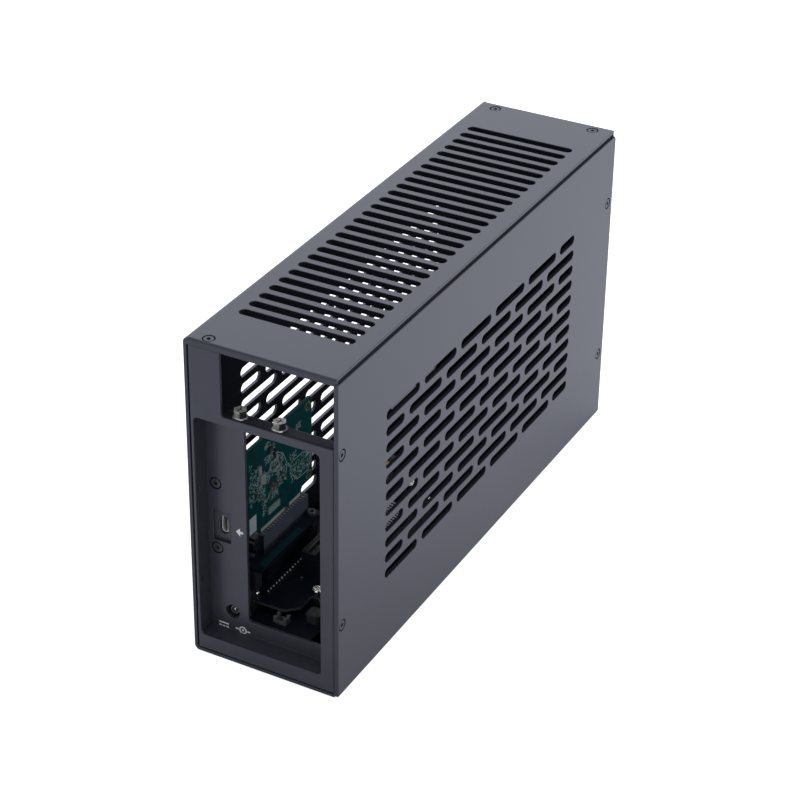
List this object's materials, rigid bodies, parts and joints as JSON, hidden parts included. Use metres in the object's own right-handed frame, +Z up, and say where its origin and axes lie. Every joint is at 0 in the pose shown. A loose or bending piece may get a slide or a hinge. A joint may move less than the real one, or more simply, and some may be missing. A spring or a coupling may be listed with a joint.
{
  "type": "external graphics card enclosure",
  "caption": "Slim upright metal enclosure with slotted top and sides, a recessed connector panel and an upright card slot.",
  "frame": {"origin": "middle of the footprint, on the underside that the enclosure stands on", "axes": "+X to the right seen from the connector side, +Y from the connector side to the closed back, +Z up"},
  "size_m": [0.078, 0.2924, 0.17],
  "materials": {
    "case_paint": "dark grey, matt, fine grained",
    "bracket_metal": "dark grey, matt",
    "case_screw": "dark grey, satin",
    "bright_screw": "nickel plated, bright",
    "post_metal": "turned",
    "board_black": "solder mask, satin",
    "board_green": "solder mask, satin",
    "socket_black": "moulded",
    "contact_metal": "plated",
    "latch_plastic": "moulded, yellow",
    "chip_black": "moulded",
    "label_white": "matt",
    "port_steel": "plated",
    "sink_metal": "plain"
  },
  "bodies": {
    "enclosure": {"shell": "case_paint", "side_panel": "case_paint", "front_plate": "case_paint", "back_plate": "case_paint", "connector_panel": "case_paint", "port_bracket": "bracket_metal", "top_screws": "case_screw", "bottom_screws": "case_screw", "left_screws": "case_screw", "panel_screws": "case_screw", "port_screws": "case_screw", "riser_screws": "case_screw", "bay_screws": "bright_screw", "slot_board_screws": "bright_screw", "low_board_screws": "bright_screw", "card_screws": "bright_screw", "board_standoffs": "post_metal", "board_spacers": "post_metal", "riser_standoffs": "post_metal", "power_board": "board_black", "slot_board": "board_black", "controller_card": "board_green", "riser_board": "board_green", "card_slot": "socket_black", "card_socket": "socket_black", "bridge_connector": "socket_black", "pin_strip": "socket_black", "jack_body": "socket_black", "port_tongue": "socket_black", "slot_contacts": "contact_metal", "card_fingers": "contact_metal", "header_pins": "contact_metal", "jack_pin": "contact_metal", "jack_sleeve": "contact_metal", "card_chip": "chip_black", "card_parts": "chip_black", "coils": "chip_black", "card_label": "label_white", "port_shell": "port_steel", "heat_sink": "sink_metal", "board_clip": "sink_metal"},
    "latch": {"slot_latch": "latch_plastic"}
  },
  "joints": [
    {"name": "latch_turn", "type": "hinge", "parent": "enclosure", "child": "latch", "pos_m": [-0.01, -0.00065, 0.0234], "axis": [-1, 0, 0], "range_deg": [0, 35]}
  ]
}
